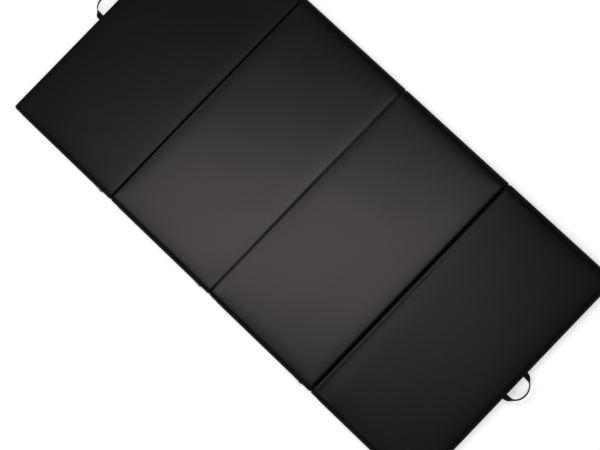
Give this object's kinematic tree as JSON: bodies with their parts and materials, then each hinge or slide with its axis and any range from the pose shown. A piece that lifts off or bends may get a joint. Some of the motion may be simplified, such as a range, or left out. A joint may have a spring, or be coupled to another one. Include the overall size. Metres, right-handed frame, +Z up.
{
  "type": "folding exercise mat",
  "caption": "Black padded gymnastics mat that folds up accordion-wise along sewn hinge strips, with webbing carrying handles at both ends and zipped covers.",
  "frame": {"origin": "on the floor, at the middle of the open mat, under hinge 2", "axes": "+X along the open mat's length, from the end that the picture shows at its upper left to the end at its lower right; +Y along the hinges; +Z up. The zips are on the -Y side"},
  "size_m": [2.5244, 1.2051, 0.05],
  "materials": {
    "foam": "matte",
    "top_cover": "satin",
    "bottom_cover": "matte",
    "wall_cover": "satin",
    "hinge_cover": "satin",
    "webbing": "matte",
    "zip_tape": "matte",
    "zip_coil": "satin",
    "zip_metal": "satin"
  },
  "bodies": {
    "panel_1": {"foam_core_1": "foam", "top_sheet_1": "top_cover", "bottom_sheet_1": "bottom_cover", "boxing_1": "wall_cover", "zip_tape_1": "zip_tape", "zip_chain_1": "zip_coil", "handle_1_tail_left": "webbing", "handle_1_tail_right": "webbing"},
    "panel_2": {"foam_core_2": "foam", "top_sheet_2": "top_cover", "bottom_sheet_2": "bottom_cover", "boxing_2": "wall_cover", "zip_tape_2": "zip_tape", "zip_chain_2": "zip_coil", "hinge_strip_1": "hinge_cover", "hinge_strip_2": "hinge_cover"},
    "panel_3": {"foam_core_3": "foam", "top_sheet_3": "top_cover", "bottom_sheet_3": "bottom_cover", "boxing_3": "wall_cover", "zip_tape_3": "zip_tape", "zip_chain_3": "zip_coil", "hinge_strip_3": "hinge_cover"},
    "panel_4": {"foam_core_4": "foam", "top_sheet_4": "top_cover", "bottom_sheet_4": "bottom_cover", "boxing_4": "wall_cover", "zip_tape_4": "zip_tape", "zip_chain_4": "zip_coil", "handle_4_tail_left": "webbing", "handle_4_tail_right": "webbing"},
    "handle_1_loop": {"handle_1": "webbing"},
    "handle_4_loop": {"handle_4": "webbing"},
    "zip_slider_1_body": {"zip_slider_1": "zip_metal"},
    "zip_pull_1_tab": {"zip_pull_1": "zip_metal"},
    "zip_slider_2_body": {"zip_slider_2": "zip_metal"},
    "zip_pull_2_tab": {"zip_pull_2": "zip_metal"},
    "zip_slider_3_body": {"zip_slider_3": "zip_metal"},
    "zip_pull_3_tab": {"zip_pull_3": "zip_metal"},
    "zip_slider_4_body": {"zip_slider_4": "zip_metal"},
    "zip_pull_4_tab": {"zip_pull_4": "zip_metal"}
  },
  "joints": [
    {"name": "hinge_1_fold", "type": "hinge", "parent": "panel_2", "child": "panel_1", "pos_m": [-0.601, 0, -0.0005], "axis": [0, -1, 0], "range_deg": [0, 180], "deforming": ["hinge_strip_1"]},
    {"name": "hinge_2_fold", "type": "hinge", "parent": "panel_2", "child": "panel_3", "pos_m": [0, 0, 0.0505], "axis": [0, -1, 0], "range_deg": [0, 180], "deforming": ["hinge_strip_2"]},
    {"name": "hinge_3_fold", "type": "hinge", "parent": "panel_3", "child": "panel_4", "pos_m": [0.601, 0, -0.0005], "axis": [0, 1, 0], "range_deg": [0, 180], "deforming": ["hinge_strip_3"]},
    {"name": "handle_1_swing", "type": "hinge", "parent": "panel_1", "child": "handle_1_loop", "pos_m": [-1.2, 0, 0.04545], "axis": [0, 1, 0], "range_deg": [-45, 90]},
    {"name": "handle_4_swing", "type": "hinge", "parent": "panel_4", "child": "handle_4_loop", "pos_m": [1.2, 0, 0.04545], "axis": [0, -1, 0], "range_deg": [-45, 90]},
    {"name": "zip_1_slide", "type": "slide", "parent": "panel_1", "child": "zip_slider_1_body", "axis": [-1, 0, 0], "range_m": [0, 0.484]},
    {"name": "zip_2_slide", "type": "slide", "parent": "panel_2", "child": "zip_slider_2_body", "axis": [-1, 0, 0], "range_m": [0, 0.484]},
    {"name": "zip_3_slide", "type": "slide", "parent": "panel_3", "child": "zip_slider_3_body", "axis": [-1, 0, 0], "range_m": [0, 0.484]},
    {"name": "zip_4_slide", "type": "slide", "parent": "panel_4", "child": "zip_slider_4_body", "axis": [-1, 0, 0], "range_m": [0, 0.484]},
    {"name": "zip_1_pull_flip", "type": "hinge", "parent": "zip_slider_1_body", "child": "zip_pull_1_tab", "pos_m": [-0.6595, -0.6035, 0.024], "axis": [0, 0, 1], "range_deg": [0, 180]},
    {"name": "zip_2_pull_flip", "type": "hinge", "parent": "zip_slider_2_body", "child": "zip_pull_2_tab", "pos_m": [-0.0585, -0.6035, 0.024], "axis": [0, 0, 1], "range_deg": [0, 180]},
    {"name": "zip_3_pull_flip", "type": "hinge", "parent": "zip_slider_3_body", "child": "zip_pull_3_tab", "pos_m": [0.5425, -0.6035, 0.024], "axis": [0, 0, 1], "range_deg": [0, 180]},
    {"name": "zip_4_pull_flip", "type": "hinge", "parent": "zip_slider_4_body", "child": "zip_pull_4_tab", "pos_m": [1.1435, -0.6035, 0.024], "axis": [0, 0, 1], "range_deg": [0, 180]}
  ]
}
